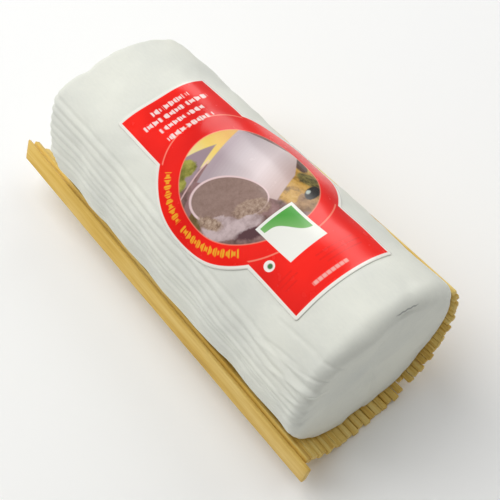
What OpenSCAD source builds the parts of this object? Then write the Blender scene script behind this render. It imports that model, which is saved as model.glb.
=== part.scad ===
// Soft goat cheese log in white wrapping paper, with a glued label on top.
// It lies in the stick mat that is sold with it.
// X runs along the log, Z is up. The origin is on the ground, below the middle of the log.

/* [Log] */
// Diameter over the wrapping paper
log_d = 85; // [70:1:110]
// Length over the wrapping paper
log_len = 176; // [146:1:215]
// Radius of the rounded edge at the top of the near end
near_edge_r = 8.5; // [3:0.5:15]
// Radius of the rounded edge at the top of the far end
far_edge_r = 4; // [3:0.5:15]
// Radius of both ends' edges at the bottom, where the cheese has slumped out
low_edge_r = 2.5; // [1:0.5:8]
// How far the middle of each end bulges out
end_bulge = 1.2; // [0:0.1:3]
// How far the cheese has settled into the flat that it lies on
settle = 2.1; // [1:0.1:3.5]
// Radius of the cheese on both sides of that flat
settle_r = 28; // [22:1:29]

/* [Paper pleats] */
// Number of lengthwise pleats down the left side
pleat_n = 9; // [4:1:12]
// Depth of one pleat
pleat_h = 0.8; // [0.3:0.1:1.5]
// Angle from the top where the pleats begin
pleat_from = 34; // [25:1:60]
// Angle from the top where the pleats end
pleat_to = 108; // [80:1:130]
// Length at each end over which the pleats die out
pleat_fade = 16; // [5:1:30]

/* [Label] */
// Diameter of the print's round middle field, along the paper
label_ring_d = 75; // [60:1:90]
// Width of the print's tab towards the far end
label_tab_w = 42.5; // [25:0.5:55]
// Reach of that tab from the middle of the ring
label_tab_reach = 59.5; // [48:0.5:62]
// Width of the print's square foot towards the near end
label_foot_w = 45.5; // [25:0.5:55]
// Reach of that foot from the middle of the ring
label_foot_reach = 58; // [48:0.5:60]
// White margin of the label round its print
label_margin = 2; // [0.5:0.1:3]
// Radius of the label's corners
label_corner_r = 1.2; // [0.5:0.1:4]
// Thickness of the label
label_t = 0.4; // [0.3:0.05:0.6]
// Distance of the ring's middle from the middle of the log
label_x = 8; // [0:0.5:12]
// Clearance between the label and the paper
label_gap = 0.15; // [0.1:0.05:0.3]

/* [Mat] */
// Width of one stick
stick_w = 3; // [2.2:0.05:3.05]
// Thickness of one stick
stick_t = 2.2; // [1.5:0.1:3]
// Radius of the long edges of a stick
stick_edge_r = 0.5; // [0.2:0.1:0.6]
// Spacing of the sticks at the near end
pitch_near = 3.46; // [3.3:0.01:4]
// Spacing of the sticks at the far end
pitch_far = 3.17; // [3.17:0.01:4]
// Sticks to the left of the lowest one
sticks_left = 14; // [8:1:18]
// Sticks to the right of the lowest one
sticks_right = 23; // [12:1:26]
// Sideways shift of the mat at its near end
shift_near = 4.8; // [0:0.1:8]
// Sideways shift of the mat at its far end
shift_far = -2.6; // [-8:0.1:0]
// How far the lowest stick reaches past the log's near end
near_overhang = 4.5; // [0:0.5:15]
// How far the sticks reach past the log's far end
far_overhang = 6; // [2:0.5:20]
// How much further the mat's far left corner reaches
far_point = 27; // [0:0.5:30]
// Slant of the mat's near edge, in millimetres for each millimetre across
slant_near = 0.045; // [0:0.005:0.08]
// Slant of the far edge at that left corner, in millimetres for each millimetre across
slant_far = 1.55; // [0.5:0.05:3]
// How unevenly the sticks are cut
cut_scatter = 0.5; // [0:0.1:1]
// The stick that is broken off short at its near end, counted from the lowest one
short_stick = 5; // [0:1:10]
// How much of that stick is missing
short_by = 4; // [0:0.5:8]
// Angle from the lowest point where the mat leaves the log on the left
hug_angle = 47; // [30:1:60]
// Clearance between the mat and the paper
mat_gap = 0.4; // [0.3:0.05:0.6]

/* [Edge slat] */
// Width of the slat along the mat's left edge
slat_w = 7.9; // [4:0.1:10]
// Thickness of the slat
slat_t = 2.4; // [1.5:0.1:3]
// Slope of the slat below level at its near end, where it folds out over the mat's edge
slat_slope_near = 66; // [55:1:80]
// Slope of the slat below level at its far end, where it lies flatter
slat_slope_far = 32; // [30:1:80]
// Gap between the last stick and the slat
slat_gap = 0.5; // [0.5:0.1:1]
// How far the slat reaches past the near ends of the sticks
slat_near_reach = 4; // [0:0.5:8]
// How far the slat reaches past the far ends of the sticks
slat_far_reach = 0; // [0:0.5:8]
// Angle of the slat's far end cut
slat_cut_angle = 42; // [0:1:60]

/* [Hidden] */
log_r = log_d / 2;
axis_z = stick_t + mat_gap + log_r - settle;
half_len = log_len / 2 - end_bulge;
round_steps = 44;
stick_steps = 5;
slat_steps = 12;
edge_steps = 5;
body_steps = 8;
arc_steps = 16;
corner_steps = 4;
// One pleat across: [share of its width, share of its depth]
pleat_profile = [[0, 1], [0.18, 0.15], [0.55, 0], [0.9, 0.4]];
ring_r = label_ring_d / 2 + label_margin;
tab_half = label_tab_w / 2 + label_margin;
tab_reach = label_tab_reach + label_margin;
foot_half = label_foot_w / 2 + label_margin;
foot_reach = label_foot_reach + label_margin;
label_r = log_r + label_gap;
mat_near = log_len / 2 + near_overhang;
mat_far = -log_len / 2 - far_overhang;

function arc_len(r, angle) = r * angle * PI / 180;
function arc_angle(r, len) = len / r * 180 / PI;
function quarter(cx, cy, r, from, steps) =
    [for (k = [0 : steps]) let(a = from + 90 * k / steps) [cx + r * cos(a), cy + r * sin(a)]];
function stick_name(i) = let(n = i + sticks_left + 1) str("stick_", n < 10 ? "0" : "", n);

// The log's section, which the mat follows too: a flat, then an arc of settle_r, then one of log_r.
// s is the length along it from the lowest point, positive to the right, and off is how far outside it is.
settle_x = sqrt(pow(log_r - settle_r, 2) - pow(log_r - settle - settle_r, 2));
settle_angle = asin(settle_x / (log_r - settle_r));
function settle_end(off) = settle_x + arc_len(settle_r + off, settle_angle);
function section_slope(s, off) = let(m = abs(s))
    sign(s) * (m <= settle_x ? 0
        : m <= settle_end(off) ? arc_angle(settle_r + off, m - settle_x)
        : settle_angle + arc_angle(log_r + off, m - settle_end(off)));
function section_length(slope, off) = settle_end(off) + arc_len(log_r + off, slope - settle_angle);
function section_spot(s, off) = let(slope = section_slope(s, off))
    abs(s) <= settle_x ? [s, axis_z - log_r + settle - off]
    : abs(s) <= settle_end(off) ? [sign(s) * settle_x + (settle_r + off) * sin(slope),
        axis_z - log_r + settle + settle_r - (settle_r + off) * cos(slope)]
    : [(log_r + off) * sin(slope), axis_z - (log_r + off) * cos(slope)];

stick_range = [-sticks_left : sticks_right];

// ---- Wrapped log ----

// Lengths along the section, with each one's share of a pleat's depth: finer over the pleats.
top_s = section_length(180, 0);
pleats_start = arc_len(log_r, pleat_from) - top_s;
pleats_end = arc_len(log_r, pleat_to) - top_s;
pleat_step = (pleats_end - pleats_start) / pleat_n;
plain_step = (pleats_start + 2 * top_s - pleats_end) / round_steps;
section = concat(
    [for (k = [0 : pleat_n - 1], p = pleat_profile) [pleats_start + (k + p[0]) * pleat_step, p[1]]],
    [for (k = [0 : round_steps - 1]) [pleats_end + k * plain_step, 0]]
);
// Each ring is [share of the straight length from the middle, how far it has turned over the edge].
near_rings = [for (k = [0 : edge_steps]) [1, 90 * k / edge_steps]];
far_rings = [for (k = [edge_steps : -1 : 0]) [-1, near_rings[k][1]]];
body_rings = [for (k = [1 : body_steps - 1]) [2 * k / body_steps - 1, 0]];
rings = concat(far_rings, body_rings, near_rings);

// The edge is rounder towards the top of the log.
function edge_at(slope, top_r) = low_edge_r + (top_r - low_edge_r) * pow((1 - cos(slope)) / 2, 2);
function fade_at(x) = min(1, max(0, (half_len - abs(x)) / pleat_fade));
function skin_point(ring, spot) =
    let(base = section_spot(spot[0], 0), slope = section_slope(spot[0], 0),
        edge = edge_at(slope, ring[0] < 0 ? far_edge_r : near_edge_r),
        x = ring[0] * (half_len - edge) + sign(ring[0]) * edge * sin(ring[1]),
        inset = edge * (1 - cos(ring[1])) + pleat_h * spot[1] * fade_at(x))
    [x, base[0] - inset * sin(slope), base[1] + inset * cos(slope)];

module wrapped_log() {
    n = len(section);
    last = len(rings) - 1;
    far_tip = n * (last + 1);
    skin = [for (ring = rings, spot = section) skin_point(ring, spot)];
    tips = [[-log_len / 2, 0, axis_z], [log_len / 2, 0, axis_z]];
    sides = [for (j = [0 : last - 1], k = [0 : n - 1]) let(m = (k + 1) % n)
        [j * n + k, (j + 1) * n + k, (j + 1) * n + m, j * n + m]];
    far_end = [for (k = [0 : n - 1]) [far_tip, k, (k + 1) % n]];
    near_end = [for (k = [0 : n - 1]) [far_tip + 1, last * n + (k + 1) % n, last * n + k]];
    color("whitesmoke") polyhedron(points = concat(skin, tips), faces = concat(sides, far_end, near_end));
}

// ---- Label ----

// Outline of the flat label, [along the log, round the log], with the tab towards the far end.
foot_angle = asin(foot_half / ring_r);
tab_angle = asin(tab_half / ring_r);
function ring_arc(from, to) =
    [for (k = [0 : arc_steps]) let(a = from + (to - from) * k / arc_steps) [ring_r * cos(a), ring_r * sin(a)]];
function label_corner(x, y, from) = quarter(x - sign(x) * label_corner_r, y - sign(y) * label_corner_r,
    label_corner_r, from, corner_steps);
outline = concat(
    ring_arc(foot_angle, 180 - tab_angle),
    label_corner(-tab_reach, tab_half, 90),
    label_corner(-tab_reach, -tab_half, 180),
    ring_arc(180 + tab_angle, 360 - foot_angle),
    label_corner(foot_reach, -foot_half, 270),
    label_corner(foot_reach, foot_half, 0)
);
// The outline as seen from above, once it is bent round the log.
bent_outline = [for (p = outline) [p[0], label_r * sin(arc_angle(label_r, p[1]))]];

module label() {
    color("red") translate([label_x, 0, axis_z]) intersection() {
        linear_extrude(height = log_d) polygon(bent_outline);
        rotate([0, 90, 0]) difference() {
            cylinder(h = log_len, r = label_r + label_t, center = true, $fn = 180);
            cylinder(h = log_len + 2, r = label_r, center = true, $fn = 180);
        }
    }
}

// ---- Mat ----

// The mat's middle surface follows the section, and leaves it at hug_angle on the left.
mat_off = mat_gap + stick_t / 2;
hug_s = -section_length(hug_angle, mat_off);
function mat_slope(s) = s < hug_s ? -hug_angle : section_slope(s, mat_off);
function mat_spot(s) = s < hug_s
    ? section_spot(hug_s, mat_off) + (hug_s - s) * [-cos(hug_angle), sin(hug_angle)]
    : section_spot(s, mat_off);

// The line of stick i, as [place along X, length along the mat's section], from its far end to its near one.
// Past mat_far the sticks of the left corner run straight on.
function far_s(i) = i * pitch_far + shift_far;
function near_s(i) = i * pitch_near + shift_near;
function past_far(i) = max(0, far_point - slant_far * (far_s(i) - far_s(-sticks_left)));
function far_line(i) = let(spread = (near_s(i) - far_s(i)) / (mat_near - mat_far))
    [mat_far - past_far(i), far_s(i) - spread * past_far(i)];
function near_line(i) = [mat_near - slant_near * near_s(i), near_s(i)];
function cut_at(i, seed) = cut_scatter * sin(seed * i);

// A stick's section, [across, towards the log].
stick_y = stick_w / 2 - stick_edge_r;
stick_z = stick_t / 2 - stick_edge_r;
stick_section = concat(
    quarter(stick_y, stick_z, stick_edge_r, 0, 1), quarter(-stick_y, stick_z, stick_edge_r, 90, 1),
    quarter(-stick_y, -stick_z, stick_edge_r, 180, 1), quarter(stick_y, -stick_z, stick_edge_r, 270, 1)
);
function stick_ring(line) = let(spot = mat_spot(line[1]), slope = mat_slope(line[1]))
    [for (p = stick_section)
        [line[0], spot[0] + p[0] * cos(slope) - p[1] * sin(slope), spot[1] + p[0] * sin(slope) + p[1] * cos(slope)]];

// A bar through rings of n points each, one ring more than it has steps.
module bar(points, n, steps) {
    sides = [for (j = [0 : steps - 1], k = [0 : n - 1]) let(m = (k + 1) % n)
        each [[j * n + k, j * n + m, (j + 1) * n + m], [j * n + k, (j + 1) * n + m, (j + 1) * n + k]]];
    ends = [[for (k = [n - 1 : -1 : 0]) k], [for (k = [0 : n - 1]) steps * n + k]];
    polyhedron(points = points, faces = concat(sides, ends));
}

module stick(i) {
    from = far_line(i) - [cut_at(i, 97), 0];
    to = near_line(i) + [cut_at(i, 151) - (i == short_stick ? short_by : 0), 0];
    points = [for (k = [0 : stick_steps]) each stick_ring(from + (to - from) * k / stick_steps)];
    color("goldenrod") bar(points, len(stick_section), stick_steps);
}

// The slat's inner edge runs just past the last stick. The slat folds down outside it, with a twist.
slat_section = [[0, 0], [0, slat_t], [slat_w, slat_t], [slat_w, 0]];
function slat_ring(line, slope, cut) = let(spot = mat_spot(line[1]))
    [for (p = slat_section)
        [line[0] + p[0] * tan(cut), spot[0] - p[0] * cos(slope) - p[1] * sin(slope),
            spot[1] - p[0] * sin(slope) + p[1] * cos(slope)]];

module edge_slat() {
    outer = -sticks_left - 0.5;
    from = far_line(outer) - [slat_far_reach, slat_gap];
    to = near_line(outer) + [slat_near_reach, -slat_gap];
    points = [for (k = [0 : slat_steps]) let(share = k / slat_steps)
        each slat_ring(from + (to - from) * share, slat_slope_far + (slat_slope_near - slat_slope_far) * share,
            k == 0 ? slat_cut_angle : 0)];
    color("darkkhaki") bar(points, len(slat_section), slat_steps);
}

wrapped_log();
label();
edge_slat();
for (i = stick_range) stick(i);
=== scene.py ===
import math
import bpy
import numpy as np
from mathutils import Matrix, Vector


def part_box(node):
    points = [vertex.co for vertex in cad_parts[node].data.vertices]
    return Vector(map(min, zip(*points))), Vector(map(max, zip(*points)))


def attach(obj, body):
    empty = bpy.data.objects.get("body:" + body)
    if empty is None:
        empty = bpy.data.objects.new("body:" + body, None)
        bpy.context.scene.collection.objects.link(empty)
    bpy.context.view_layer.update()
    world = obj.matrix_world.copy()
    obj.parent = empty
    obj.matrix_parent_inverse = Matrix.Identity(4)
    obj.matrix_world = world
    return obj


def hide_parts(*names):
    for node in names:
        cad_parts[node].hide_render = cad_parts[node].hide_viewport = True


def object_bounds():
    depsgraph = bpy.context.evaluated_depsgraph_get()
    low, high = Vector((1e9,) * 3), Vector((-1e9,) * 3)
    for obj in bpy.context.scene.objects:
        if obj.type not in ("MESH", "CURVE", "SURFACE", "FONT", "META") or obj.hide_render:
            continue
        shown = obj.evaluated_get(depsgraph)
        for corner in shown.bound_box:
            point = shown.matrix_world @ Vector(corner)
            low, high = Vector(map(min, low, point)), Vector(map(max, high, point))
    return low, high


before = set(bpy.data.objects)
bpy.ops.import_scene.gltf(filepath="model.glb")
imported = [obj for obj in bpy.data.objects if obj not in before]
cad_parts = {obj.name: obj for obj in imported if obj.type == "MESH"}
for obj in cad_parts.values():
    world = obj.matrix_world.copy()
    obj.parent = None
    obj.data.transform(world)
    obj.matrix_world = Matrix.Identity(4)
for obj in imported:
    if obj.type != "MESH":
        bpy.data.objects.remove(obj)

cadLow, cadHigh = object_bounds()
mm = 0.001


# Shader maths: a node's output socket that Python's operators can use

class Wire:
    def __init__(self, finish, socket):
        self.finish, self.socket = finish, socket

    def maths(self, operation, *values, clamp=False):
        settings = {"operation": operation, "use_clamp": clamp}
        return self.finish.node("ShaderNodeMath", settings, dict(enumerate(values)))

    def __add__(self, other):
        return self.maths("ADD", self, other)

    def __sub__(self, other):
        return self.maths("SUBTRACT", self, other)

    def __rsub__(self, other):
        return self.maths("SUBTRACT", other, self)

    def __mul__(self, other):
        return self.maths("MULTIPLY", self, other)

    def __truediv__(self, other):
        return self.maths("DIVIDE", self, other)

    __radd__ = __add__
    __rmul__ = __mul__

    def atLeast(self, other):
        return self.maths("MAXIMUM", self, other)

    def atMost(self, other):
        return self.maths("MINIMUM", self, other)

    def size(self):
        return self.maths("ABSOLUTE", self)

    def root(self):
        return self.maths("SQRT", self)

    def wave(self):
        return self.maths("SINE", self)

    def angleFrom(self, other):
        return self.maths("ARCTAN2", self, other)

    def soften(self, width):                      # 0 to 1 across an edge of this width
        return self.maths("MULTIPLY_ADD", self, 1 / width, 0.5, clamp=True)


class Finish:
    def __init__(self, name):
        self.material = bpy.data.materials.new(name)
        self.material.use_nodes = True
        self.tree = self.material.node_tree
        self.tree.nodes.clear()

    def node(self, kind, settings=None, inputs=None, output=0):
        made = self.tree.nodes.new(kind)
        for name, value in (settings or {}).items():
            if name == "stops":
                fillRamp(made.color_ramp, value)
            else:
                setattr(made, name, value)
        for name, value in (inputs or {}).items():
            if isinstance(value, Wire):
                self.tree.links.new(value.socket, made.inputs[name])
            else:
                made.inputs[name].default_value = value
        return Wire(self, made.outputs[output])

    def place(self):                              # position in metres
        return self.node("ShaderNodeTexCoord", output=3)

    def axes(self, spot):                         # the three numbers of a position
        return (self.node("ShaderNodeSeparateXYZ", {}, {0: spot}, k) for k in range(3))

    def scaled(self, spot, scale):
        return self.node("ShaderNodeVectorMath", {"operation": "MULTIPLY"}, {0: spot, 1: scale})

    def noise(self, spot, scale, detail=3.0, roughness=0.5, output=0):
        inputs = {"Vector": spot, "Scale": scale, "Detail": detail, "Roughness": roughness}
        return self.node("ShaderNodeTexNoise", {}, inputs, output)

    def ramp(self, value, *stops):
        return self.node("ShaderNodeValToRGB", {"stops": stops}, {0: value})

    def mix(self, mask, under, over):
        return self.node("ShaderNodeMix", {"data_type": "RGBA"}, {0: mask, 6: under, 7: over}, 2)

    def bump(self, height, strength, distance):
        inputs = {"Height": height, "Strength": strength, "Distance": distance}
        return self.node("ShaderNodeBump", {}, inputs)

    def surface(self, inputs):
        shader = self.node("ShaderNodeBsdfPrincipled", {}, inputs)
        output = self.tree.nodes.new("ShaderNodeOutputMaterial")
        self.tree.links.new(shader.socket, output.inputs["Surface"])
        return self.material


def fillRamp(ramp, stops):
    while len(ramp.elements) < len(stops):
        ramp.elements.new(1.0)
    for element, (place, colour) in zip(ramp.elements, stops):
        element.position, element.color = place, colour


def tint(red, green, blue):                       # an everyday 0 to 255 colour as a shader colour
    def linear(value):
        value = value / 255
        return value / 12.92 if value <= 0.04045 else ((value + 0.055) / 1.055) ** 2.4
    return linear(red), linear(green), linear(blue), 1.0


# Meshes

def makePiece(name, points, faces, material, slotName, *nodes, smooth=True):
    mesh = bpy.data.meshes.new(name)
    mesh.from_pydata(np.asarray(points).tolist(), [], faces)
    mesh.validate()
    mesh.polygons.foreach_set("use_smooth", [smooth] * len(mesh.polygons))
    mesh.update()
    piece = bpy.data.objects.new(name, mesh)
    bpy.context.scene.collection.objects.link(piece)
    mesh.materials.append(material)
    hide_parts(*nodes)
    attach(piece, "root")
    return piece


def tubeFaces(rings, around):                     # side faces of a tube with rings of equal length
    row, k = np.meshgrid(np.arange(rings - 1), np.arange(around), indexing="ij")
    following = (k + 1) % around
    a, b = row * around + k, row * around + following
    return np.stack([a, b, b + around, a + around], -1).reshape(-1, 4).tolist()


def smoothStep(value, low, high):
    t = np.clip((value - low) / (high - low), 0, 1)
    return t * t * (3 - 2 * t)


def hump(value, width):                           # 1 at zero, gone at about twice the width
    return np.exp(-(value / width) ** 2)


class Rumple:                                     # smooth repeatable unevenness from a few sine waves
    def __init__(self, seed, wavelength, waves=24):
        rng = np.random.default_rng(seed)
        heading = rng.uniform(0, 2 * math.pi, waves)
        rate = 2 * math.pi / (wavelength * rng.uniform(0.7, 1.6, waves))
        self.kx, self.ky = rate * np.cos(heading), rate * np.sin(heading)
        self.phase = rng.uniform(0, 2 * math.pi, waves)
        self.gain = math.sqrt(2 / waves)

    def __call__(self, x, y):
        total = 0
        for kx, ky, phase in zip(self.kx, self.ky, self.phase):
            total = total + np.sin(kx * x + ky * y + phase)
        return total * self.gain


# The log's section, which the mat follows: a flat, a tight arc on each side, then the full round

log = {
    "settle": 2.1 * mm,                           # how far the cheese sinks into its flat
    "settleRadius": 28 * mm,
    "nearEdge": 7 * mm, "farEdge": 4 * mm,        # rounding of the ends at the top
    "lowEdge": 2.5 * mm,                          # and at the bottom
    "endBulge": 1.2 * mm,
}
logLow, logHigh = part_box("wrapped_log")
logLength = logHigh[0] - logLow[0]
logRadius = round((logHigh[2] - logLow[2] + log["settle"]) / 2, 4)
axisZ = logLow[2] - log["settle"] + logRadius
endX = logLength / 2 - log["endBulge"]            # where the flat part of each end lies
bodyHalf = endX - log["nearEdge"]
settleX = math.sqrt((logRadius - log["settleRadius"]) ** 2
                    - (logRadius - log["settle"] - log["settleRadius"]) ** 2)
settleAngle = math.asin(settleX / (logRadius - log["settleRadius"]))


def settleEnd(off):
    return settleX + (log["settleRadius"] + off) * settleAngle


def sectionLength(slope, off):
    return settleEnd(off) + (logRadius + off) * (slope - settleAngle)


def sectionSlope(s, off):
    m = np.abs(s)
    tight = (m - settleX) / (log["settleRadius"] + off)
    full = settleAngle + (m - settleEnd(off)) / (logRadius + off)
    return np.sign(s) * np.where(m <= settleX, 0, np.where(m <= settleEnd(off), tight, full))


def sectionSpot(s, off):
    slope, side = sectionSlope(s, off), np.sign(s)
    m = np.abs(s)
    tightRadius, fullRadius = log["settleRadius"] + off, logRadius + off
    flatZ = axisZ - logRadius + log["settle"]
    tightY = side * settleX + tightRadius * np.sin(slope)
    tightZ = flatZ + log["settleRadius"] - tightRadius * np.cos(slope)
    y = np.where(m <= settleX, s, np.where(m <= settleEnd(off), tightY, fullRadius * np.sin(slope)))
    z = np.where(m <= settleX, flatZ - off,
                 np.where(m <= settleEnd(off), tightZ, axisZ - fullRadius * np.cos(slope)))
    return y, z


topS = sectionLength(math.pi, 0)                  # from the lowest point round to the top


def edgeAt(slope, side):                          # the edge is rounder towards the top
    top = log["nearEdge"] if side > 0 else log["farEdge"]
    return log["lowEdge"] + (top - log["lowEdge"]) * ((1 - np.cos(slope)) / 2) ** 2


def spotOnLog(across):                            # length round from the top, positive to the right
    s = np.where(across >= 0, topS - across, -topS - across)
    return sectionSpot(s, 0.0)


def slopeOnLog(across):
    s = np.where(across >= 0, topS - across, -topS - across)
    return sectionSlope(s, 0.0)


# The label's outline in millimetres: along the log from the ring's middle, and round it from the top

label = {
    "middle": 8.0,                                # along the log from its mid-length
    "printRadius": 37.5,
    "tabHalf": 21.25, "tabReach": 59.5,
    "footHalf": 22.75, "footReach": 58.0,
    "margin": 2.0,                                # white border round the print
    "corner": 1.2,
    "lift": 0.12, "thickness": 0.22,
    "edgeLift": 0.1, "edgeLiftWidth": 2.5,        # the edge stands up a little
    "stations": 210, "across": 96,
}


def labelHalf(along, margin):                     # half the label's width at each place along it
    ring = label["printRadius"] + margin
    onRing = np.sqrt(np.maximum(ring ** 2 - along ** 2, 0))
    straight = np.where(along < 0, label["tabHalf"], label["footHalf"]) + margin
    reach = np.where(along < 0, label["tabReach"], label["footReach"]) + margin
    intoCorner = np.clip(np.abs(along) - (reach - label["corner"]), 0, label["corner"])
    rounded = label["corner"] - np.sqrt(label["corner"] ** 2 - intoCorner ** 2)
    return np.maximum(onRing, straight - rounded)


# How the wrapped surface departs from the plain form, all in millimetres

paper = {
    # angle from the top, in degrees, of each groove between pleats: far and near
    "grooves": [(45.6, 53.2), (51.6, 59.0), (56.6, 64.4), (62.3, 70.0), (67.4, 74.2), (72.9, 77.6),
                (78.8, 81.4), (85.0, 86.4), (90.5, 91.5), (96.5, 97.0), (102.0, 103.0)],
    "groovesFrom": -85, "groovesOver": 155,       # the stretch those angles are for
    "pleatDepth": 0.85,
    "pleatWander": 0.35,                          # degrees
    "endFade": 12.0,                              # pleats die out over this length at the ends
    "softWaves": 0.28, "softLength": 34.0,
    "fineWaves": 0.07, "fineLength": 9.0,
    "facets": 0.05, "crumple": 0.16,
    "underMat": 0.25,                             # how far it may bulge where the mat holds it
    "rightHold": (-4.5, -0.5), "leftHold": (-6, -1),      # starts and is full this far from its edge
    # lumps: height, middle and width along, middle and width round
    "farDent": (-2.4, -54, 17, -3, 15), "hollow": (-0.5, 62, 18, -21, 9),
    # swells that grow towards an end: height, start and full along, middle and width round
    "farLobe": (2.4, -34, -70, -34, 12), "nearFlare": (1.2, -30, 60, 56, 24),
    # how far the ends reach past the plain form, and their folds: height, middle and width round
    "farReach": 2.6, "farFolds": [(2.2, -34, 13), (-1.4, -17, 3.2), (-0.5, -2, 12)],
    "nearLean": 4.5, "leanFade": (15, 95),        # the near end leans out at its top
    "nearFolds": [(0.8, -62, 22), (-0.5, -30, 12)],
    # changes of the girth: height, middle and width round, start and full as shares of the half length
    "spread": [(1.4, -44, 16, -0.72, -1.0), (-1.6, -74, 26, 0.0, 0.9), (0.6, -78, 14, 0.1, -0.3)],
    # creases: from and to (along, round), width, height (negative is a groove)
    "creases": [
        (60, -42, 82, -37, 0.8, 0.4), (63, -38.5, 80, -35, 0.7, -0.4),
        (66, -48, 86, -40, 1.0, 0.55), (62, -29, 80, -27, 0.8, -0.35), (66, -25, 84, -24, 1.2, 0.3),
        (74, -38, 92, -33, 0.7, -0.5), (76, -44, 94, -40, 0.9, 0.5), (80, -28, 96, -25, 0.9, -0.45),
        (72, -53, 90, -47, 0.8, 0.5), (70, -60, 88, -55, 0.8, 0.5), (74, -66, 89, -63, 0.9, 0.5),
        (44, -30, 70, -17, 5.0, -0.35), (50, -10, 76, 8, 6.0, 0.3), (64, 10, 82, 24, 5.0, 0.25),
        (88.2, 6, 88.8, 16, 0.7, -0.9), (90, -2, 91, 0.5, 0.6, -0.4),
        (76, 20, 92, 26, 3.0, 0.4), (98, 4, 104, -6, 2.2, -0.45), (96, -14, 118, -6, 3.0, 0.35),
        (-74, -30, -58, -36, 1.2, -0.3), (-86, -20, -60, -12, 6.0, 0.3), (-80, 12, -50, 30, 6.0, -0.2),
    ],
    "around": 1.7, "aroundFine": 0.42,            # spacing of the mesh round the log
    "fineFrom": -82.0, "fineTo": -26.0,           # the finer stretch, over the pleats
    "along": 0.85,
    "edgeRings": 14, "faceRings": 30,
}

softRumple = Rumple(11, paper["softLength"])
fineRumple = Rumple(23, paper["fineLength"])
wanderRumple = Rumple(5, 46.0, 12)
sharpRumple = Rumple(41, 17.0)


def pleatField(along, across):
    left = -across / (logRadius / mm) * 180 / math.pi     # degrees left of the top
    t = np.clip((along - paper["groovesFrom"]) / paper["groovesOver"], -0.1, 1.15)
    left = left + paper["pleatWander"] * wanderRumple(along * 0.8, across * 3)
    lines = [far + (near - far) * t for far, near in paper["grooves"]]
    height = np.zeros_like(left)
    for k in range(len(lines) - 1):
        wide = lines[k + 1] - lines[k]
        q = np.clip((left - lines[k]) / wide, 0, 1)
        inside = (left >= lines[k]) & (left < lines[k + 1])
        rise = np.minimum(q / 0.5, 1)
        fall = smoothStep(q, 0.5, 1.0)
        shape = rise * (2 - rise) * (1 - fall)
        strength = 0.75 + 0.35 * math.sin(2.1 * k + 1)
        height = np.where(inside, shape * strength, height)
    within = (left >= lines[0]) & (left < lines[-1])
    onset = smoothStep(left, lines[0] - 2.6, lines[0])
    offset = 1 - smoothStep(left, lines[-1], lines[-1] + 3)
    return np.where(within, height, 0) - 0.45 * onset * offset


def creaseField(along, across):
    total = 0
    for fromX, fromY, toX, toY, wide, high in paper["creases"]:
        runX, runY = toX - fromX, toY - fromY
        length2 = runX ** 2 + runY ** 2
        t = np.clip(((along - fromX) * runX + (across - fromY) * runY) / length2, 0, 1)
        away = np.hypot(along - fromX - t * runX, across - fromY - t * runY)
        fade = 0.35 + 0.65 * np.sin(math.pi * np.clip(t, 0.08, 0.92))
        total = total + high * hump(away, wide) * fade
    return total


def underLabel(along, across):                    # 1 under the label, fading out just past its edge
    u = along - label["middle"]
    inside = labelHalf(np.clip(u, -label["tabReach"] - 2, label["footReach"] + 2), label["margin"])
    sideways = np.abs(across) - inside
    beyond = np.where(u < 0, -u - label["tabReach"], u - label["footReach"]) - label["margin"]
    return 1 - smoothStep(np.maximum(sideways, beyond), -0.5, 1.6)


def lump(along, across, high, middleX, wideX, middleY, wideY):
    return high * hump(along - middleX, wideX) * hump(across - middleY, wideY)


def swell(along, across, high, fromX, toX, middleY, wideY):
    return high * smoothStep(along, fromX, toX) * hump(across - middleY, wideY)


def broadForm(along, across):                     # the slow unevenness, which the label follows too
    farDent = lump(along, across, *paper["farDent"])
    farLobe = swell(along, across, *paper["farLobe"])
    nearFlare = swell(along, across, *paper["nearFlare"])
    hollow = lump(along, across, *paper["hollow"])
    return farDent + farLobe + nearFlare + hollow + paper["softWaves"] * softRumple(along, across)


def surfaceField(along, across):
    span = bodyHalf / mm
    fade = smoothStep(span + 14 - np.abs(along), 0, paper["endFade"])
    pleats = paper["pleatDepth"] * pleatField(along, across) * (0.12 + 0.88 * fade)
    fine = paper["fineWaves"] * fineRumple(along, across)
    facets = paper["facets"] * np.abs(sharpRumple(along, across))
    nearEnds = smoothStep(np.abs(along), span - 8, span + 6)
    crushed = np.abs(sharpRumple(along * 0.45 + 40, across * 1.5)) - 0.7
    crumple = nearEnds * paper["crumple"] * crushed
    calm = 1 - 0.85 * smoothStep(np.abs(along), span + 8, span + 22)      # the end faces are smoother
    loose = pleats + (fine + facets + crumple) * calm + creaseField(along, across)
    return broadForm(along, across) + loose * (1 - underLabel(along, across))


def folded(start, folds, across):
    return sum((high * hump(across - middle, wide) for high, middle, wide in folds), start)


def endReach(part, across):                       # the folded ends aren't flat: some lobes reach further
    far = folded(paper["farReach"], paper["farFolds"], across)
    lean = paper["nearLean"] * (1 - smoothStep(np.abs(across), *paper["leanFade"]))
    near = folded(lean, paper["nearFolds"], across)
    return np.where(part < 0, far * smoothStep(-part, 0.8, 1.0), near * smoothStep(part, 0.8, 1.0))


def endSpread(part, across):
    return sum(high * hump(across - middle, wide) * smoothStep(part, start, full)
               for high, middle, wide, start, full in paper["spread"])


def clearOfMat(along, across, lift):              # the paper can't push into the sticks below it
    ends = []
    for x, s in (farLine(mat["right"]), nearLine(mat["right"])):
        slope = float(sectionSlope(s + mat["stickWidth"] / 2, matOff))
        ends.append((x / mm, (topS - sectionLength(slope, 0)) / mm))
    (farX, farEdge), (nearX, nearEdge) = ends
    rightEdge = np.interp(along, [farX, nearX], [farEdge, nearEdge])
    leftEdge = (topS + hugS) / mm
    heldRight = smoothStep(across - rightEdge, *paper["rightHold"])
    heldLeft = smoothStep(-across - leftEdge, *paper["leftHold"])
    held = np.maximum(heldRight, heldLeft)
    return lift + held * (np.minimum(lift, paper["underMat"]) - lift)


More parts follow.
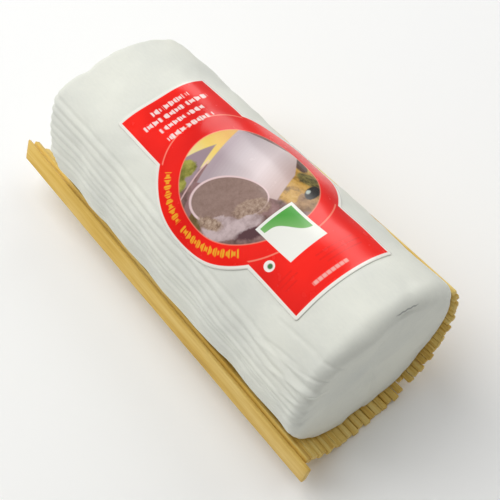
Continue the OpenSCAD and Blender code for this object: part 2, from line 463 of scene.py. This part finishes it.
def roundGrid():                                  # places round the log, closer together over the pleats
    half = topS / mm
    spots = [-half]
    while spots[-1] < half - 0.6 * paper["around"]:
        inFine = paper["fineFrom"] < spots[-1] < paper["fineTo"]
        spots.append(spots[-1] + (paper["aroundFine"] if inFine else paper["around"]))
    if spots[-1] > half - 0.3:
        spots.pop()
    return np.array(spots)


def paperRings():                                 # each: share of the straight part, turn, share of the face
    faces = [(1.0, 90.0, (k / paper["faceRings"]) ** 0.9) for k in range(1, paper["faceRings"])]
    edges = [(1.0, 90.0 * k / paper["edgeRings"], 1.0) for k in range(paper["edgeRings"], 0, -1)]
    count = int(2 * endX / mm / paper["along"])
    body = [(share, 0.0, 1.0) for share in np.linspace(-1, 1, count)]
    ends = faces + edges
    return np.array([(-side, turn, share) for side, turn, share in ends] + body + ends[::-1])


def buildPaper(material):
    across = roundGrid()
    rings = paperRings()
    part, turn, share = (rings[:, k:k + 1] for k in range(3))
    y, z = spotOnLog(across * mm)
    y, z = y / mm, (z - axisZ) / mm
    slope = slopeOnLog(across * mm)
    outY, outZ = np.sin(slope), -np.cos(slope)
    edge = np.where(part < 0, edgeAt(slope, -1), edgeAt(slope, 1)) / mm
    side, angle = np.sign(part), np.radians(turn)
    straight = endX / mm - edge
    bulge = log["endBulge"] / mm * (1 - share ** 2)
    x = part * straight + side * (edge * np.sin(angle) + bulge)
    inset = edge * (1 - np.cos(angle))
    faceRun = (1 - share) * (logRadius / mm - edge)
    length = part * straight + side * (edge * angle + faceRun)       # unfolded length from mid-log
    acrossGrid = np.broadcast_to(across, length.shape)
    lift = clearOfMat(length, acrossGrid, surfaceField(length, acrossGrid))
    lift = lift * smoothStep(share, 0.0, 0.35)    # the middle of each end face is plain
    radial = lift * np.cos(angle) + endSpread(part, acrossGrid) * share
    axial = side * lift * np.sin(angle)
    px = x + axial + side * endReach(part, acrossGrid) * share
    py = (y - inset * outY) * share + outY * radial
    pz = (z - inset * outZ) * share + outZ * radial
    pz = np.maximum(pz, (logLow[2] - axisZ) / mm - 0.2)              # flat underneath
    points = np.stack([px * mm, py * mm, pz * mm + axisZ], -1).reshape(-1, 3)
    around, count = len(across), len(rings)
    tips = [[-logLength / 2, 0, axisZ], [logLength / 2, 0, axisZ]]
    points = np.concatenate([points, tips])
    faces = [face[::-1] for face in tubeFaces(count, around)]
    tip = around * count
    for k in range(around):
        following = (k + 1) % around
        faces.append([tip, k, following])
        faces.append([tip + 1, (count - 1) * around + following, (count - 1) * around + k])
    return makePiece("wrappingPaper", points, faces, material, "wrapping_paper", "wrapped_log")


def buildLabel(material):
    margin = label["margin"]
    near, far = label["footReach"] + margin, label["tabReach"] + margin
    evenly = np.linspace(-far + label["corner"], near - label["corner"], label["stations"])
    bend = np.sin(np.linspace(0, math.pi / 2, 6))[1:] * label["corner"]
    along = np.concatenate([(-far + label["corner"] - bend)[::-1], evenly, near - label["corner"] + bend])
    half = labelHalf(along, margin)
    share = np.linspace(-1, 1, label["across"])
    across = half[:, None] * share[None, :]
    alongGrid = np.broadcast_to(along[:, None] + label["middle"], across.shape)
    edge = np.minimum(half[:, None] - np.abs(across),
                      np.minimum(alongGrid - label["middle"] + far, near - alongGrid + label["middle"]))
    y, z = spotOnLog(across * mm)
    slope = slopeOnLog(across * mm)
    raised = label["edgeLift"] * (1 - smoothStep(edge, 0.0, label["edgeLiftWidth"]))
    base = broadForm(alongGrid, across) + label["lift"] + raised
    sheets = []
    for rise in (base + label["thickness"] * smoothStep(edge, -0.15, 0.25), base - 0.08):
        sheetY, sheetZ = y + np.sin(slope) * rise * mm, z - np.cos(slope) * rise * mm
        sheets.append(np.stack([alongGrid * mm, sheetY, sheetZ], -1))
    rows, columns = across.shape
    points = np.concatenate([sheet.reshape(-1, 3) for sheet in sheets])
    row, column = np.meshgrid(np.arange(rows - 1), np.arange(columns - 1), indexing="ij")
    a = (row * columns + column).ravel()
    top = np.stack([a, a + columns, a + columns + 1, a + 1], -1)
    under = top[:, ::-1] + rows * columns
    rim = list(range(columns)) + [r * columns + columns - 1 for r in range(1, rows)]
    rim += [(rows - 1) * columns + c for c in range(columns - 2, -1, -1)]
    rim += [r * columns for r in range(rows - 2, 0, -1)]
    sides = []
    for k, this in enumerate(rim):
        following = rim[(k + 1) % len(rim)]
        sides.append([this, following, following + rows * columns, this + rows * columns])
    faces = top.tolist() + under.tolist() + sides
    return makePiece("labelSheet", points, faces, material, "label_print", "label")


# Mat

mat = {
    "gap": 0.4 * mm,
    "stickWidth": 3 * mm, "stickThick": 2.2 * mm, "stickEdge": 0.5 * mm,
    "pitchNear": 3.46 * mm, "pitchFar": 3.17 * mm,
    "left": 14, "right": 23,
    "shiftNear": 4.8 * mm, "shiftFar": -2.6 * mm,
    "nearOverhang": 4.5 * mm, "farOverhang": 6 * mm, "farPoint": 27 * mm,
    "slantNear": 0.045, "slantFar": 1.55,
    "cutScatter": 0.5 * mm, "short": 5, "shortBy": 4 * mm,
    "hugAngle": math.radians(47),
    "widen": 0.11,                                # how much wider a stick is at its near end
    "chamfer": 0.35 * mm, "cutLean": 0.3,         # the saw cuts aren't quite square
    "stations": 44,
}
matOff = mat["gap"] + mat["stickThick"] / 2
hugS = -sectionLength(mat["hugAngle"], matOff)


def matSlope(s):
    return np.where(s < hugS, -mat["hugAngle"], sectionSlope(s, matOff))


def matSpot(s):
    y, z = sectionSpot(np.maximum(s, hugS), matOff)
    past = np.maximum(hugS - s, 0)
    return y - past * math.cos(mat["hugAngle"]), z + past * math.sin(mat["hugAngle"])


def farLine(i):
    s = i * mat["pitchFar"] + mat["shiftFar"]
    fromCorner = (i + mat["left"]) * mat["pitchFar"]
    past = max(0, mat["farPoint"] - mat["slantFar"] * fromCorner)
    length = logLength + mat["nearOverhang"] + mat["farOverhang"]
    spread = (i * mat["pitchNear"] + mat["shiftNear"] - s) / length
    return -logLength / 2 - mat["farOverhang"] - past, s - spread * past


def nearLine(i):
    s = i * mat["pitchNear"] + mat["shiftNear"]
    return logLength / 2 + mat["nearOverhang"] - mat["slantNear"] * s, s


def roundedBar(halfWide, halfThick, edge, steps=3):   # rounded rectangle, anticlockwise
    points = []
    for side, top, start in ((1, 1, 0), (-1, 1, 90), (-1, -1, 180), (1, -1, 270)):
        for k in range(steps + 1):
            a = math.radians(start + 90 * k / steps)
            points.append((side * (halfWide - edge) + edge * math.cos(a),
                           top * (halfThick - edge) + edge * math.sin(a)))
    points.insert(steps + 1, (0.0, halfThick))
    points.insert(3 * (steps + 1) + 1, (0.0, -halfThick))
    return np.array(points)


def buildStick(i, material):
    rng = np.random.default_rng(300 + i)
    fromX, fromS = farLine(i)
    toX, toS = nearLine(i)
    fromX -= mat["cutScatter"] * math.sin(math.radians(97 * i))
    shorter = mat["shortBy"] if i == mat["short"] else 0
    toX += mat["cutScatter"] * math.sin(math.radians(151 * i)) - shorter
    count = mat["stations"]
    inner = np.linspace(0, 1, count)
    chamfer = mat["chamfer"] / (toX - fromX)
    t = np.concatenate([[0], [chamfer], inner[1:-1], [1 - chamfer], [1]])
    taper = np.ones(len(t))
    taper[[0, -1]] = 0.8
    phase = rng.uniform(0, 6.28, 4)
    thin = 1 - 0.03 * (1 + np.sin(9 * t + phase[0])) - 0.02 * (1 + np.sin(31 * t + phase[1]))
    slim = 1 - 0.02 * (1 + np.sin(7 * t + phase[2])) - 0.015 * (1 + np.sin(23 * t + phase[3]))
    bar = roundedBar(mat["stickWidth"] / 2, mat["stickThick"] / 2, mat["stickEdge"])
    lean = rng.uniform(-mat["cutLean"], mat["cutLean"], 2) * mm
    points = []
    for k in range(len(t)):
        x, s = fromX + (toX - fromX) * t[k], fromS + (toS - fromS) * t[k]
        y, z = matSpot(s)
        slope = float(matSlope(s))
        across = bar[:, 0] * slim[k] * taper[k] * (1 + mat["widen"] * t[k])
        out = bar[:, 1] * thin[k] * taper[k]
        atEnd = lean[0] if k < 2 else lean[1] if k > len(t) - 3 else 0.0
        points.append(np.stack([x + atEnd * bar[:, 0] / mat["stickWidth"],
                                y + across * math.cos(slope) - out * math.sin(slope),
                                z + across * math.sin(slope) + out * math.cos(slope)], -1))
    around = len(bar)
    faces = tubeFaces(len(t), around)
    faces.append(list(range(around))[::-1])
    faces.append([(len(t) - 1) * around + k for k in range(around)])
    number = i + mat["left"] + 1
    return makePiece(f"strawStick{number:02d}", np.concatenate(points), faces, material, "mat_sticks",
                     f"stick_{number:02d}")


slat = {
    "width": 7.9 * mm, "thick": 2.4 * mm, "edge": 0.55 * mm,
    "slopeNear": math.radians(66), "slopeFar": math.radians(32), "gap": 0.5 * mm,
    "nearReach": 4 * mm, "farReach": 0 * mm,      # past the line of the sticks' ends
    "cutAngle": math.radians(42), "cutFade": 12,  # the far end is cut at a slant
    "chamfer": 0.4 * mm,
    "stations": 70,
}


def buildSlat(material):
    outer = -mat["left"] - 0.5
    fromX, fromS = farLine(outer)
    toX, toS = nearLine(outer)
    fromX, fromS = fromX - slat["farReach"], fromS - slat["gap"]
    toX, toS = toX + slat["nearReach"], toS - slat["gap"]
    bar = roundedBar(slat["width"] / 2, slat["thick"] / 2, slat["edge"])
    t = np.linspace(0, 1, slat["stations"])
    chamfer = slat["chamfer"] / (toX - fromX)
    t = np.concatenate([[0, chamfer], t[1:-1], [1 - chamfer, 1]])
    points = []
    for k, share in enumerate(t):
        squeeze = 0.9 if k in (0, len(t) - 1) else 1.0
        wander = 1 - 0.012 * (1 + math.sin(11 * share + 1)) - 0.008 * (1 + math.sin(37 * share))
        w = slat["width"] / 2 + bar[:, 0] * squeeze * wander
        h = slat["thick"] / 2 + bar[:, 1] * squeeze * wander
        slope = slat["slopeFar"] + (slat["slopeNear"] - slat["slopeFar"]) * share
        y, z = matSpot(fromS + (toS - fromS) * share)
        cut = w * math.tan(slat["cutAngle"]) * max(0, 1 - share * slat["cutFade"])
        points.append(np.stack([fromX + (toX - fromX) * share + cut,
                                y - w * math.cos(slope) - h * math.sin(slope),
                                z - w * math.sin(slope) + h * math.cos(slope)], -1))
    around = len(bar)
    faces = tubeFaces(len(t), around)
    faces.append(list(range(around))[::-1])
    faces.append([(len(t) - 1) * around + k for k in range(around)])
    return makePiece("edgeSlat", np.concatenate(points), faces, material, "edge_slat", "edge_slat")


# Finishes

paperLook = {
    # the slit colour is painted shade: a grey line standing in for the shade inside the slit in the paper
    "shade": tint(236, 237, 226), "dip": tint(222, 224, 216), "slitShade": tint(120, 120, 122),
    "slitFrom": 5.5, "slitTo": 16.5,              # round from the top, in mm
    "slitAlong": 50.5,                            # along the log less the distance from its axis, in mm
    "roughness": 0.72,
}


def paperFinish():
    finish = Finish("wrappingPaperMaterial")
    spot = finish.place()
    x, y, z = finish.axes(spot)
    cloud = finish.noise(spot, 26.0, 2.0)
    fibre = finish.noise(finish.scaled(spot, (0.4, 1.0, 1.0)), 900.0, 4.0, 0.6)
    crinkle = finish.noise(spot, 120.0, 3.0, 0.55)
    tone = cloud * 0.75 + fibre * 0.25
    colour = finish.ramp(tone, (0.3, paperLook["dip"]), (0.62, paperLook["shade"]))
    above = z - axisZ
    w = y.angleFrom(above) * (logRadius / mm)
    fromAxis = (y * y + above * above).root()
    # painted shade: a grey line along the slit in the paper, where the shade inside the cut would fall
    alongSlitShade = (w - paperLook["slitFrom"]).atMost(paperLook["slitTo"] - w).soften(2.5)
    offSlitShade = ((x - fromAxis) * 1000 - paperLook["slitAlong"] - (w * 2.1).wave() * 0.15).size()
    colour = finish.mix((0.35 - offSlitShade).soften(0.4) * alongSlitShade * 0.7, colour, paperLook["slitShade"])
    rough = crinkle * 0.16 + paperLook["roughness"] - 0.08
    height = fibre * 0.18 + crinkle
    return finish.surface({
        "Base Color": colour, "Roughness": rough, "Specular IOR Level": 0.35,
        "Normal": finish.bump(height, 0.35, 0.00035),
    })


labelLook = {
    "red": tint(255, 28, 12), "deepRed": tint(228, 16, 8), "cream": tint(244, 241, 232),
    "pink": tint(255, 150, 125), "marks": tint(250, 176, 40), "white": tint(250, 244, 238),
    "bandRadius": 33.4,                           # middle of the ring of marks
    "ringInner": 29.0, "pictureShift": (1.5, 0.0),
    "bleed": 0.55,                                # how far the red runs over the print's edge, in mm
    "roughness": 0.26,
}


def labelFinish():
    finish = Finish("labelPrintMaterial")
    spot = finish.place()
    x, y, z = finish.axes(spot)
    u = x * 1000 - label["middle"]
    w = y.angleFrom(z - axisZ) * (logRadius / mm)
    look = labelLook
    mix = finish.mix

    def distance(cu, cw):
        du, dw = u - cu, w - cw
        return (du * du + dw * dw).root()

    def block(cu, cw, halfU, halfW, turn=0.0, soft=0.15):
        c, s = math.cos(math.radians(turn)), math.sin(math.radians(turn))
        du, dw = u - cu, w - cw
        along = (du * c + dw * s).size()
        aside = (dw * c - du * s).size()
        return (halfU - along).atMost(halfW - aside).soften(soft)

    def oval(cu, cw, halfLong, halfWide, turn, soft=0.2, warp=None):
        c, s = math.cos(math.radians(turn)), math.sin(math.radians(turn))
        du, dw = u - cu, w - cw
        if warp:
            du, dw = du + warp[0], dw + warp[1]
        a, b = (du * c + dw * s) / halfLong, (dw * c - du * s) / halfWide
        return ((1 - (a * a + b * b).root()) * halfWide).soften(soft)

    def corners(points, soft=0.2, warp=None):     # inside of a convex outline, anticlockwise
        pu, pw = (u + warp[0], w + warp[1]) if warp else (u, w)
        inside = None
        for (au, aw), (bu, bw) in zip(points, points[1:] + points[:1]):
            length = math.hypot(bu - au, bw - aw)
            nu, nw = -(bw - aw) / length, (bu - au) / length
            side = pu * nu + pw * nw - (au * nu + aw * nw)
            inside = side if inside is None else inside.atMost(side)
        return inside.soften(soft)

    far = distance(0, 0)
    ringEdge = label["printRadius"] - far
    tabEdge = (u + label["tabReach"]).atMost(label["tabHalf"] - w.size()).atMost(0 - u)
    footEdge = (label["footReach"] - u).atMost(label["footHalf"] - w.size()).atMost(u)
    printed = (ringEdge.atLeast(tabEdge).atLeast(footEdge) + look["bleed"]).soften(0.25)

    grain = finish.noise(spot, 260.0, 2.0)
    redTone = finish.noise(spot, 30.0, 1.0)
    red = finish.ramp(redTone, (0.35, look["deepRed"]), (0.6, look["red"]))
    colour = mix(printed, look["cream"], red)

    # thin pink line where the ring runs on through the tab and the foot
    acrossTab = (0.3 - (far - (label["printRadius"] - 0.6)).size()).soften(0.25)
    colour = mix(acrossTab * tabEdge.atLeast(footEdge).soften(0.5) * 0.75, colour, look["pink"])

    # generic marks in place of the words on the ring
    angle = w.angleFrom(u)
    around = angle * look["bandRadius"]
    tall = (around * 1.9).wave() * 0.5 + 1.2
    inBand = (tall - (far - look["bandRadius"]).size()).soften(0.6)
    beads = ((around * 5.3).wave() + (around * 2.9).wave() * 0.8 + 0.55).soften(1.2)
    firstWords = ((angle + 2.44).atMost(-1.77 - angle) * 33).soften(0.4)
    secondWords = ((angle + 1.68).atMost(-0.76 - angle) * 33).soften(0.4)
    colour = mix(inBand * beads * firstWords.atLeast(secondWords), colour, look["marks"])

    # four rows of plain white dashes on the tab
    for place, low, high, rate, start in ((-54.4, -9.8, 9.9, 2.2, 0.3), (-49.4, -16.8, 17.0, 2.0, 1.1),
                                          (-43.4, -12.4, 10.0, 2.4, 2.0), (-37.2, -12.4, 10.6, 2.1, 0.0)):
        tall = (w * (rate * 0.83) + start * 3).wave() * 0.3 + 1.2
        row = (tall - (u - place).size()).soften(0.5)
        ends = (w - low).atMost(high - w).soften(0.3)
        beat = (w * (rate * 2.1) + start).wave() + (w * (rate * 1.13) + start).wave() * 0.8
        dashes = (beat + 0.65).soften(1.0)
        gap = ((w * 0.52 + start * 2).wave() + 0.93).soften(0.12)
        colour = mix(row * ends * dashes * gap * 0.8, colour, look["white"])

    # picture in the ring: a cut cheese log with slices, fruit and leaves
    wobbleU = (finish.noise(spot, 420.0, 3.0, 0.6) - 0.5) * 2.6
    wobbleW = (finish.noise(finish.scaled(spot, (1.0, -1.0, 1.0)), 390.0, 3.0, 0.6) - 0.5) * 2.6
    warp = (wobbleU, wobbleW)
    smallWarp = (wobbleU * 0.3, wobbleW * 0.3)
    mottle = finish.noise(spot, 600.0, 4.0, 0.65)
    patch = finish.noise(spot, 210.0, 3.0, 0.6)

    def shades(value, *stops):                    # a ramp with everyday colours
        return finish.ramp(value, *((place, tint(*colour)) for place, colour in stops))

    picture = shades(patch, (0.3, (98, 72, 66)), (0.5, (140, 108, 104)), (0.7, (160, 128, 126)))
    darkTop = shades(patch, (0.35, (70, 52, 30)), (0.65, (120, 98, 58)))
    wedge = shades((w + 12) * 0.05, (0.0, (236, 222, 168)), (0.5, (244, 212, 112)), (1.0, (226, 170, 60)))
    grape = shades(patch, (0.35, (104, 104, 36)), (0.65, (170, 166, 78)))
    leaf = shades(patch, (0.3, (120, 84, 30)), (0.48, (196, 148, 56)), (0.66, (214, 172, 92)))
    green = shades(mottle, (0.4, (72, 62, 26)), (0.6, (132, 118, 54)))
    tan = shades(patch, (0.35, (120, 82, 42)), (0.65, (186, 144, 92)))
    ridges = ((u * 0.92 + w * 0.38) * 4.2 + patch * 3).wave() * 0.5 + 0.5
    shadeAcross = (u * 0.92 + w * 0.39 + 14) * 0.034
    rind = shades(shadeAcross + ridges * 0.02, (0.0, (176, 158, 164)), (0.25, (200, 186, 189)),
                  (0.6, (226, 210, 210)), (0.95, (200, 174, 168)))
    face = shades(mottle * 0.6 + patch * 0.4, (0.3, (134, 108, 98)), (0.7, (160, 134, 124)))
    crumb = shades(mottle, (0.35, (132, 106, 90)), (0.5, (168, 142, 122)), (0.65, (190, 166, 148)))
    slices = shades(patch, (0.35, (160, 138, 136)), (0.6, (200, 180, 180)))
    grapes = oval(-21, -16.5, 6.0, 4.2, 60, 0.8, warp).atLeast(oval(-18, -22, 4, 3.4, 0, 0.8, warp))
    layers = [
        (oval(-4, -30, 9, 5, 0, 1.5, warp), darkTop),
        (corners([(-30, -12), (-16, -12), (-14, 2), (-20, 16), (-30, 16)], 0.6), wedge),
        (corners([(-21.5, 1.0), (-25, -13), (-15, -24), (-13, -18)], 0.5), tint(160, 138, 146)),
        (grapes, grape),
        (corners([(-16, -8), (-8, -28), (-4, -28), (-9, -8)], 0.6, smallWarp), tint(148, 112, 112)),
        # leaves, handle and dark ground on the right
        (oval(12, 17, 15, 8, 122, 1.0, warp), leaf),
        (oval(13.5, 22, 5.5, 4, 20, 1.0, warp), green),
        (oval(3.5, 26.5, 6, 3, 150, 0.8, warp), tint(84, 52, 34)),
        (oval(24, 13, 7, 4.5, 100, 0.8, warp), tan),
        (oval(20.5, 17.5, 5.2, 2.6, 112, 0.5, smallWarp), tint(36, 32, 28)),
        (oval(19.5, 16.0, 1.4, 0.8, 112, 0.5, smallWarp), tint(190, 200, 190)),
        # the cheese log itself, with its cut face
        (corners([(-12, -16), (17, 2), (9, 18), (-2, 30), (-24, 15)], 0.5), rind),
        (oval(3.2, -12.0, 16.6, 10.9, 46, 0.35), tint(232, 204, 204)),
        (oval(3.4, -11.8, 15.8, 10.1, 46, 0.3), face),
        (block(-14, -17, 11, 0.35, 103, 0.3) * 0.7, tint(236, 196, 196)),
        # crumbs and slices towards the foot
        (oval(13.5, -7.5, 7.5, 4.2, 62, 0.9, warp) * 0.75, crumb),
        (oval(11.5, -21, 9.5, 5.2, 40, 0.7, warp), slices),
        (oval(17.5, -13, 6.5, 3.2, 70, 0.7, warp), slices),
        (oval(22.5, -13.5, 7.5, 2.2, 60, 0.9, warp), tint(92, 62, 66)),
        (oval(5.5, -23.5, 6, 2.6, 25, 0.9, warp), crumb),
    ]
    for mask, shade in layers:
        picture = mix(mask, picture, shade)

    shiftU, shiftW = look["pictureShift"]
    ringInside = look["ringInner"] - distance(shiftU, shiftW)
    colour = mix(ringInside.soften(0.25), colour, picture)
    colour = mix((0.25 - ringInside.size()).soften(0.3) * 0.6, colour, look["pink"])

    # small bordered square with a green field and a pale wave
    colour = mix(block(31.2, -2.5, 10.0, 9.3, 3), colour, tint(244, 244, 236))
    slant = (u - 20) * 0.028 + (w + 12) * -0.018 + 0.3
    field = shades(slant, (0.2, (84, 168, 70)), (0.75, (176, 214, 150)))
    hill = (30.8 + (w * 0.42 + 0.6).wave() * 1.3 + w * 0.6 - u).soften(0.3)
    colour = mix(block(31.0, -2.5, 8.6, 7.9, 3) * hill, colour, field)

    # round mark, fine rows and a pale bar on the foot
    colour = mix((2.3 - distance(36.6, -18.0)).soften(0.2), colour, look["white"])
    colour = mix((1.1 - distance(36.9, -17.8)).soften(0.5), colour, tint(70, 120, 70))
    for place, low, high in ((44.4, -21, -13), (46.6, -21, -12), (48.8, -20, -14), (46.0, -3, 15),
                             (48.3, -3, 17), (50.6, -1, 16)):
        row = (0.35 - (u - place).size()).soften(0.4) * (w - low).atMost(high - w).soften(0.5)
        colour = mix(row * ((w * 3.6 + place).wave() * 0.5 + 0.6).soften(0.8) * 0.5, colour, look["deepRed"])
    bar = (0.8 - (u - 54.4).size()).soften(0.4) * (w + 11).atMost(5.5 - w).soften(0.5)
    colour = mix(bar * ((w * 3.1).wave() + 0.9).soften(0.8) * 0.8, colour, tint(255, 196, 186))

    rough = grain * 0.08 + look["roughness"] - 0.04
    return finish.surface({
        "Base Color": colour, "Roughness": rough, "Specular IOR Level": 0.28,
        "Coat Weight": 0.2, "Coat Roughness": 0.16,
        "Normal": finish.bump(finish.noise(spot, 130.0, 2.0), 0.12, 0.0003),
    })


strawLook = {
    "pale": tint(240, 214, 134), "golden": tint(222, 184, 88), "brown": tint(186, 138, 58),
    "roughness": 0.52,
}


def strawFinish(name, look, grainScale):
    finish = Finish(name)
    spot = finish.place()
    tone = finish.noise(finish.scaled(spot, (6.0, 230.0, 230.0)), 1.0, 2.0)
    streak = finish.noise(finish.scaled(spot, (0.03, 1.0, 1.0)), grainScale, 4.0, 0.6)
    fibre = finish.noise(finish.scaled(spot, (0.05, 1.0, 1.0)), grainScale * 3.1, 3.0, 0.6)
    value = tone * 0.4 + streak * 0.45 + fibre * 0.15
    colour = finish.ramp(value, (0.32, look["brown"]), (0.46, look["golden"]), (0.62, look["pale"]))
    rough = streak * 0.2 + look["roughness"] - 0.1
    return finish.surface({
        "Base Color": colour, "Roughness": rough, "Specular IOR Level": 0.4,
        "Normal": finish.bump(streak * 0.6 + fibre * 0.4, 0.5, 0.0003),
    })


slatLook = {
    "pale": tint(240, 208, 128), "golden": tint(222, 182, 88), "brown": tint(188, 146, 62),
    "roughness": 0.48,
}


# Floor, light and camera

stage = {
    "floorSize": 3.0, "floorGap": 0.1 * mm,       # it lies just below the object
    "floor": tint(252, 252, 250), "floorDip": tint(250, 250, 249),
    "world": tint(255, 255, 255), "worldStrength": 0.28,
}


def buildFloor():
    finish = Finish("floorMaterial")
    faint = finish.noise(finish.place(), 3.0, 1.0)
    colour = finish.ramp(faint, (0.3, stage["floorDip"]), (0.7, stage["floor"]))
    material = finish.surface({"Base Color": colour, "Roughness": 0.9, "Specular IOR Level": 0.1})
    half = stage["floorSize"] / 2
    mesh = bpy.data.meshes.new("floor")
    corners = [(-half, -half, 0), (half, -half, 0), (half, half, 0), (-half, half, 0)]
    mesh.from_pydata(corners, [], [(0, 1, 2, 3)])
    mesh.materials.append(material)
    floor = bpy.data.objects.new("floor", mesh)
    bpy.context.scene.collection.objects.link(floor)
    floor.location[2] = cadLow[2] - stage["floorGap"]


lights = {
    # azimuth and elevation as seen from the object, distance, size, power, and what it lights
    "key": (208, 58, 1.1, (1.1, 1.1), 10.3, "diffuse"),
    "fill": (85, 45, 0.9, (0.6, 0.6), 1.9, "diffuse"),
    "gloss": (124, 37, 0.9, (0.5, 0.46), 2.5, "glossy"),
}


def buildLights():
    world = bpy.data.worlds.new("studio")
    bpy.context.scene.world = world
    world.use_nodes = True
    background = world.node_tree.nodes["Background"]
    background.inputs["Color"].default_value = stage["world"]
    background.inputs["Strength"].default_value = stage["worldStrength"]
    middle = (cadLow + cadHigh) / 2
    for name, (azimuth, elevation, away, size, power, kind) in lights.items():
        a, e = math.radians(azimuth), math.radians(elevation)
        direction = Vector((math.cos(a) * math.cos(e), math.sin(a) * math.cos(e), math.sin(e)))
        data = bpy.data.lights.new(name, "AREA")
        data.shape = "RECTANGLE"
        data.size, data.size_y = size
        data.energy = power
        lamp = bpy.data.objects.new(name, data)
        bpy.context.scene.collection.objects.link(lamp)
        lamp.location = middle + direction * away
        lamp.rotation_mode = "QUATERNION"
        lamp.rotation_quaternion = direction.to_track_quat("Z", "Y")
        lamp.visible_glossy = kind == "glossy"
        lamp.visible_diffuse = kind == "diffuse"


camera = {
    "azimuth": 54.9, "elevation": 55.4, "roll": -2.83,
    "distance": 0.3186,
    "aim": (0.6945, 0.3556, 0.8716),              # shares of the object's box
    "lens": 59.25,
}


def buildCamera():
    data = bpy.data.cameras.new("camera")
    data.lens, data.sensor_width = camera["lens"], 36.0
    data.clip_start = 0.01
    eye = bpy.data.objects.new("camera", data)
    bpy.context.scene.collection.objects.link(eye)
    a, e, roll = (math.radians(camera[name]) for name in ("azimuth", "elevation", "roll"))
    back = Vector((math.sin(a) * math.cos(e), -math.cos(a) * math.cos(e), math.sin(e)))
    right = Vector((math.cos(a), math.sin(a), 0))
    up = back.cross(right)
    right = (right * math.cos(roll) + up * math.sin(roll)).normalized()
    up = back.cross(right)
    aim = Vector([cadLow[k] + camera["aim"][k] * (cadHigh[k] - cadLow[k]) for k in range(3)])
    turn = Matrix((right, up, back)).transposed().to_4x4()
    eye.matrix_world = Matrix.Translation(aim + back * camera["distance"]) @ turn
    bpy.context.scene.camera = eye


bpy.context.scene.view_settings.view_transform = "Standard"
buildCamera()
print("camera set")
buildPaper(paperFinish())
print("paper made")
buildLabel(labelFinish())
print("label made")
straw = strawFinish("strawMaterial", strawLook, 700.0)
for i in range(-mat["left"], mat["right"] + 1):
    buildStick(i, straw)
buildSlat(strawFinish("slatMaterial", slatLook, 420.0))
print("mat made")
buildFloor()
buildLights()
print("studio set")
